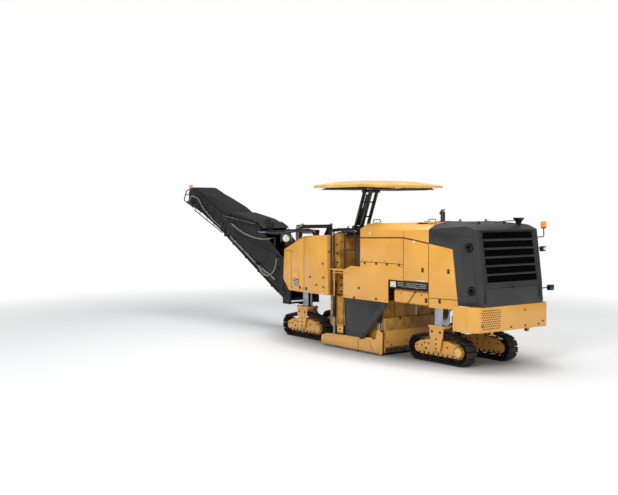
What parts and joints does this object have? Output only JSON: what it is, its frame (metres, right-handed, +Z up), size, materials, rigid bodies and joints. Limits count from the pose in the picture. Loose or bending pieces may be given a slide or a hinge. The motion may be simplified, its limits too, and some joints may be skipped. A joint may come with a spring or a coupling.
{
  "type": "cold planer milling machine",
  "caption": "Tracked cold planer with lifting legs, enclosed milling drum, operator deck under a folding canopy, rear engine hood and a folding front loading conveyor.",
  "frame": {"origin": "on the ground below the middle of the overall length and width", "axes": "+X forward to the loading conveyor, +Y to the machine's left, +Z up"},
  "size_m": [13.9658, 2.8, 4.2433],
  "materials": {
    "yellow_paint": "gloss",
    "black_paint": "satin",
    "chrome": "polished",
    "dark_steel": "rough",
    "belt_rubber": "matte",
    "engine_iron": "rough",
    "bare_steel": "satin"
  },
  "bodies": {
    "chassis": {"main_frame": "black_paint", "drum_housing": "yellow_paint", "engine_sides": "yellow_paint", "rear_shroud": "black_paint", "side_tanks": "yellow_paint", "engine_block": "engine_iron", "rear_bumper": "yellow_paint", "front_covers": "yellow_paint", "front_hood": "yellow_paint", "operator_deck": "yellow_paint", "operator_stations": "black_paint", "handrails": "black_paint", "drum_side_covers": "black_paint", "primary_conveyor": "black_paint", "conveyor_mount": "black_paint"},
    "hood": {"engine_hood": "yellow_paint", "exhaust_stack": "bare_steel"},
    "grille_door": {"radiator_grille": "black_paint"},
    "drum": {"milling_drum": "dark_steel"},
    "side_plate_left": {"side_plate_left": "yellow_paint"},
    "side_plate_right": {"side_plate_right": "yellow_paint"},
    "moldboard": {"moldboard": "yellow_paint"},
    "conveyor_yoke": {"slew_yoke": "black_paint"},
    "conveyor_boom": {"boom_frame": "black_paint", "boom_cover": "black_paint", "boom_belt": "belt_rubber", "boom_hose_upper": "belt_rubber", "boom_hose_lower": "belt_rubber"},
    "conveyor_nose": {"nose_frame": "black_paint", "nose_cover": "black_paint", "nose_belt": "belt_rubber"},
    "lift_barrels": {"lift_barrels": "black_paint"},
    "lift_rods": {"lift_rods": "chrome"},
    "canopy_front_arm": {"canopy_arm_front": "black_paint"},
    "canopy_rear_arm": {"canopy_arm_rear": "black_paint"},
    "canopy": {"canopy_roof": "yellow_paint"},
    "leg_rear_left": {"leg_column_rear_left": "chrome"},
    "track_rear_left": {"track_frame_rear_left": "yellow_paint", "track_chain_rear_left": "dark_steel"},
    "leg_rear_right": {"leg_column_rear_right": "chrome"},
    "track_rear_right": {"track_frame_rear_right": "yellow_paint", "track_chain_rear_right": "dark_steel"},
    "leg_front_left": {"leg_column_front_left": "chrome"},
    "track_front_left": {"track_frame_front_left": "yellow_paint", "track_chain_front_left": "dark_steel"},
    "leg_front_right": {"leg_column_front_right": "chrome"},
    "track_front_right": {"track_frame_front_right": "yellow_paint", "track_chain_front_right": "dark_steel"}
  },
  "joints": [
    {"name": "leg_lift_rear_left", "type": "slide", "parent": "chassis", "child": "leg_rear_left", "axis": [0, 0, -1], "range_m": [-0.42, 0.05]},
    {"name": "steer_rear_left", "type": "hinge", "parent": "leg_rear_left", "child": "track_rear_left", "pos_m": [-5.465, 0.68, 0.83], "axis": [0, 0, 1], "range_deg": [-30, 30]},
    {"name": "leg_lift_rear_right", "type": "slide", "parent": "chassis", "child": "leg_rear_right", "axis": [0, 0, -1], "range_m": [-0.42, 0.05]},
    {"name": "steer_rear_right", "type": "hinge", "parent": "leg_rear_right", "child": "track_rear_right", "pos_m": [-5.465, -0.68, 0.83], "axis": [0, 0, 1], "range_deg": [-30, 30]},
    {"name": "leg_lift_front_left", "type": "slide", "parent": "chassis", "child": "leg_front_left", "axis": [0, 0, -1], "range_m": [-0.42, 0.05]},
    {"name": "steer_front_left", "type": "hinge", "parent": "leg_front_left", "child": "track_front_left", "pos_m": [-0.345, 0.68, 0.83], "axis": [0, 0, 1], "range_deg": [-30, 30]},
    {"name": "leg_lift_front_right", "type": "slide", "parent": "chassis", "child": "leg_front_right", "axis": [0, 0, -1], "range_m": [-0.42, 0.05]},
    {"name": "steer_front_right", "type": "hinge", "parent": "leg_front_right", "child": "track_front_right", "pos_m": [-0.345, -0.68, 0.83], "axis": [0, 0, 1], "range_deg": [-30, 30]},
    {"name": "drum_spin", "type": "hinge", "parent": "chassis", "child": "drum", "pos_m": [-2.915, 0, 0.6], "axis": [0, 1, 0], "continuous": true},
    {"name": "side_plate_left_slide", "type": "slide", "parent": "chassis", "child": "side_plate_left", "axis": [0, 0, -1], "range_m": [-0.42, 0.05]},
    {"name": "side_plate_right_slide", "type": "slide", "parent": "chassis", "child": "side_plate_right", "axis": [0, 0, -1], "range_m": [-0.42, 0.05]},
    {"name": "moldboard_slide", "type": "slide", "parent": "chassis", "child": "moldboard", "axis": [0, 0, -1], "range_m": [-0.42, 0.05]},
    {"name": "conveyor_slew", "type": "hinge", "parent": "chassis", "child": "conveyor_yoke", "pos_m": [0.855, 0, 1], "axis": [0, 0, 1], "range_deg": [-60, 60]},
    {"name": "conveyor_lift", "type": "hinge", "parent": "conveyor_yoke", "child": "conveyor_boom", "pos_m": [0.975, 0, 1.12], "axis": [0, -1, 0], "range_deg": [-10, 8]},
    {"name": "conveyor_fold", "type": "hinge", "parent": "conveyor_boom", "child": "conveyor_nose", "pos_m": [4.27101, 0, 2.69432], "axis": [0, 1, 0], "range_deg": [0, 85]},
    {"name": "lift_cylinder_swing", "type": "hinge", "parent": "conveyor_yoke", "child": "lift_barrels", "pos_m": [0.835, 0, 2.84], "axis": [0, -1, 0], "range_deg": [-12, 12]},
    {"name": "lift_cylinder_stroke", "type": "slide", "parent": "lift_barrels", "child": "lift_rods", "axis": [1, 0, -0.0071], "range_m": [-0.4, 0.42]},
    {"name": "canopy_fold", "type": "hinge", "parent": "chassis", "child": "canopy_front_arm", "pos_m": [-1.695, 0, 3.02], "axis": [0, 1, 0], "range_deg": [-48, 0]},
    {"name": "canopy_rear_arm_fold", "type": "hinge", "parent": "chassis", "child": "canopy_rear_arm", "pos_m": [-1.925, 0, 3.02], "axis": [0, 1, 0], "range_deg": [-48, 0]},
    {"name": "canopy_level", "type": "hinge", "parent": "canopy_front_arm", "child": "canopy", "pos_m": [-2.075, 0, 3.96], "axis": [0, 1, 0], "range_deg": [0, 48]},
    {"name": "hood_lift", "type": "hinge", "parent": "chassis", "child": "hood", "pos_m": [-3.237, 0, 2.8], "axis": [0, 1, 0], "range_deg": [0, 45]},
    {"name": "grille_swing", "type": "hinge", "parent": "chassis", "child": "grille_door", "pos_m": [-6.967, -0.86, 1.87], "axis": [0.159, 0, 0.9873], "range_deg": [0, 100]}
  ],
  "couplings": [
    {"joint": "steer_front_right", "follows": "steer_front_left", "ratio": 1},
    {"joint": "steer_rear_right", "follows": "steer_rear_left", "ratio": 1},
    {"joint": "lift_cylinder_swing", "follows": "conveyor_lift", "ratio": 0.89253},
    {"joint": "lift_cylinder_stroke", "follows": "conveyor_lift", "m_per_rad": -1.7115},
    {"joint": "canopy_rear_arm_fold", "follows": "canopy_fold", "ratio": 1},
    {"joint": "canopy_level", "follows": "canopy_fold", "ratio": -1}
  ]
}
